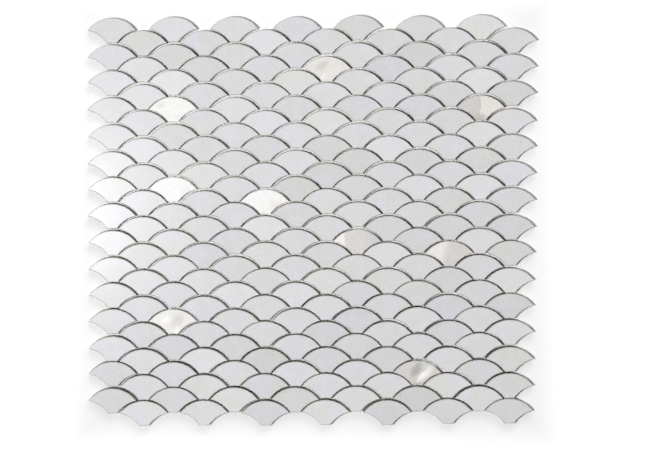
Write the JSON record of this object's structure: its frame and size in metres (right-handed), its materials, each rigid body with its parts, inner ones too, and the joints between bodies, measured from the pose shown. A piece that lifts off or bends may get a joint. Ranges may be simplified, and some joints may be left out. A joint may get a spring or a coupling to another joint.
{
  "type": "fan mosaic tile sheet",
  "caption": "Flat sheet of staggered fan-shaped marble chips with a few mother-of-pearl ones, open joints, on a glass-fibre net that is bedded in tile adhesive",
  "frame": {"origin": "middle of the sheet's outline, on the plane of the net's underside", "axes": "+X along a row of fans, +Y the way the round tops point, +Z out of the polished faces"},
  "size_m": [0.3007, 0.2754, 0.01],
  "materials": {
    "marble": "polished pale marble with soft cool and warm clouds",
    "shell": "polished mother-of-pearl",
    "net": "coated glass-fibre net"
  },
  "bodies": {
    "root": {"marble_fans_row_01": "marble", "marble_fans_row_02": "marble", "marble_fans_row_03": "marble", "marble_fans_row_04": "marble", "marble_fans_row_05": "marble", "marble_fans_row_06": "marble", "marble_fans_row_07": "marble", "marble_fans_row_08": "marble", "marble_fans_row_09": "marble", "marble_fans_row_10": "marble", "marble_fans_row_11": "marble", "marble_fans_row_12": "marble", "marble_fans_row_13": "marble", "marble_fans_row_14": "marble", "marble_fans_row_15": "marble", "marble_fans_row_16": "marble", "marble_fans_row_17": "marble", "marble_fans_row_18": "marble", "marble_fans_row_19": "marble", "marble_fans_row_20": "marble", "marble_fans_row_21": "marble", "marble_fans_row_22": "marble", "marble_fans_row_23": "marble", "marble_fans_row_24": "marble", "marble_fans_row_25": "marble", "marble_fans_row_26": "marble", "marble_fans_row_27": "marble", "marble_fans_row_28": "marble", "marble_fans_row_29": "marble", "marble_fans_row_30": "marble", "net_warp_yarns": "net", "net_weft_yarns": "net", "shell_fan_1": "shell", "shell_fan_2": "shell", "shell_fan_3": "shell", "shell_fan_4": "shell", "shell_fan_5": "shell", "shell_fan_6": "shell", "shell_fan_7": "shell", "shell_fan_8": "shell", "shell_fan_9": "shell"}
  },
  "joints": []
}
